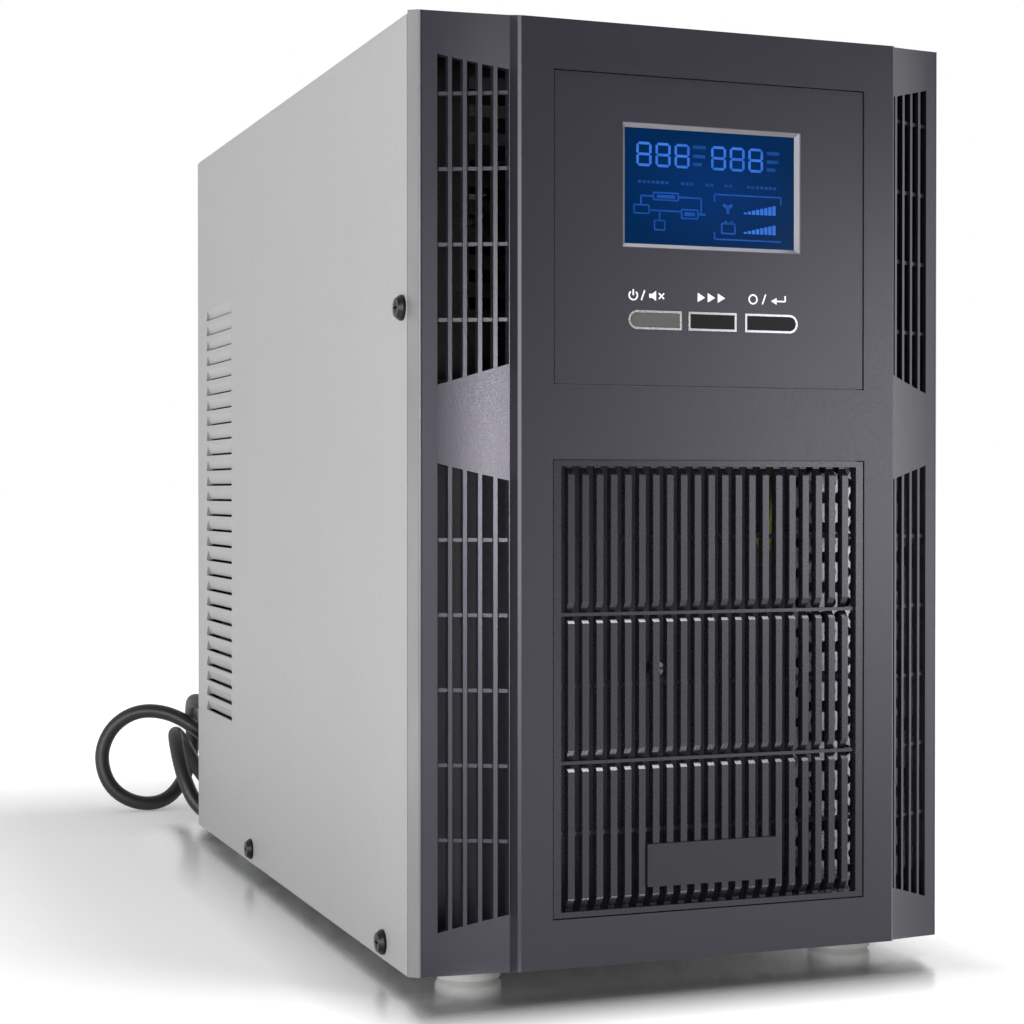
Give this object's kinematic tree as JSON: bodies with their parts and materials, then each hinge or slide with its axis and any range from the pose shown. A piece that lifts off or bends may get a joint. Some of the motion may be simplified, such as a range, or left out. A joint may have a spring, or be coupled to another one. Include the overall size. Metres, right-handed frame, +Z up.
{
  "type": "uninterruptible power supply",
  "caption": "Tower uninterruptible power supply with a grilled charcoal bezel, blue display, louvred grey cover, rear fans and outlets, and a mains lead.",
  "frame": {"origin": "on the floor under the middle of the body", "axes": "+Z up, the front faces -Y, +X to the right seen from the front"},
  "size_m": [0.2581, 0.4875, 0.318],
  "materials": {
    "cover_paint": "fine satin powder coat, light grey",
    "bezel_plastic": "fine spark-eroded texture, charcoal",
    "fascia_plastic": "fine texture, charcoal",
    "grille_plastic": "satin, charcoal",
    "badge_plastic": "satin, charcoal",
    "window_clear": "clear polished",
    "lcd_face": "blue backlit display",
    "board_green": "solder mask",
    "button_grey": "satin",
    "button_black": "satin",
    "trim_bright": "bright",
    "sheet_steel": "zinc plated",
    "rear_paint": "fine textured black",
    "door_paint": "satin black",
    "battery_case": "moulded",
    "lead_red": "insulated wire",
    "sink_aluminium": "extruded",
    "can_sleeve": "shrink sleeve",
    "winding": "enamelled copper winding",
    "relay_case": "moulded",
    "filter_case": "tin plated",
    "fan_plastic": "moulded black",
    "guard_wire": "nickel plated",
    "socket_plastic": "moulded black",
    "breaker_plastic": "moulded black",
    "reset_plastic": "moulded red",
    "port_metal": "nickel plated",
    "foot_rubber": "light grey",
    "screw_black": "black zinc",
    "screw_bright": "zinc plated",
    "earth_sleeve": "yellow and green",
    "cord_rubber": "matt black",
    "plug_rubber": "moulded black",
    "tie_cloth": "hook-and-loop strap"
  },
  "bodies": {
    "chassis": {"badge_plate": "badge_plastic", "base_tray": "sheet_steel", "battery_1": "battery_case", "battery_2": "battery_case", "battery_3": "battery_case", "battery_4": "battery_case", "battery_5": "battery_case", "battery_6": "battery_case", "battery_door": "door_paint", "battery_leads": "lead_red", "battery_partition": "sheet_steel", "battery_tray": "sheet_steel", "bulk_capacitors": "can_sleeve", "button_trims": "trim_bright", "choke": "winding", "cord_coil": "cord_rubber", "cord_gland": "plug_rubber", "cord_run": "cord_rubber", "cord_tail": "cord_rubber", "cord_tie": "tie_cloth", "cover_screws": "screw_black", "display_board": "board_green", "display_fascia": "fascia_plastic", "earth_wire": "earth_sleeve", "emi_filter": "filter_case", "fan_frame_left": "fan_plastic", "fan_frame_right": "fan_plastic", "fan_guard_left": "guard_wire", "fan_guard_right": "guard_wire", "foot_front_left": "foot_rubber", "foot_front_right": "foot_rubber", "foot_rear_left": "foot_rubber", "foot_rear_right": "foot_rubber", "front_bezel": "bezel_plastic", "front_grille": "grille_plastic", "front_plate": "sheet_steel", "heat_sink_left": "sink_aluminium", "heat_sink_right": "sink_aluminium", "input_breaker": "breaker_plastic", "lcd_module": "lcd_face", "lcd_window": "window_clear", "main_board": "board_green", "mains_plug": "plug_rubber", "mid_shelf": "sheet_steel", "outer_cover": "cover_paint", "output_socket_1": "socket_plastic", "output_socket_2": "socket_plastic", "output_socket_3": "socket_plastic", "output_socket_4": "socket_plastic", "panel_screws": "screw_bright", "rear_panel": "rear_paint", "relays": "relay_case", "serial_port": "port_metal", "slot_cover": "rear_paint"},
    "on_button": {"on_button": "button_grey"},
    "select_button": {"select_button": "button_black"},
    "off_button": {"off_button": "button_black"},
    "breaker_reset": {"breaker_button": "reset_plastic"},
    "left_fan": {"fan_rotor_left": "fan_plastic"},
    "right_fan": {"fan_rotor_right": "fan_plastic"}
  },
  "joints": [
    {"name": "on_button_press", "type": "slide", "parent": "chassis", "child": "on_button", "axis": [0, 1, 0], "range_m": [0, 0.0008], "stiffness_N_per_m": 500},
    {"name": "select_button_press", "type": "slide", "parent": "chassis", "child": "select_button", "axis": [0, 1, 0], "range_m": [0, 0.0008], "stiffness_N_per_m": 500},
    {"name": "off_button_press", "type": "slide", "parent": "chassis", "child": "off_button", "axis": [0, 1, 0], "range_m": [0, 0.0008], "stiffness_N_per_m": 500},
    {"name": "breaker_trip", "type": "slide", "parent": "chassis", "child": "breaker_reset", "axis": [0, 1, 0], "range_m": [0, 0.003]},
    {"name": "left_fan_spin", "type": "hinge", "parent": "chassis", "child": "left_fan", "pos_m": [-0.043, 0.16, 0.262], "axis": [0, 1, 0], "continuous": true},
    {"name": "right_fan_spin", "type": "hinge", "parent": "chassis", "child": "right_fan", "pos_m": [0.043, 0.16, 0.262], "axis": [0, 1, 0], "continuous": true}
  ]
}
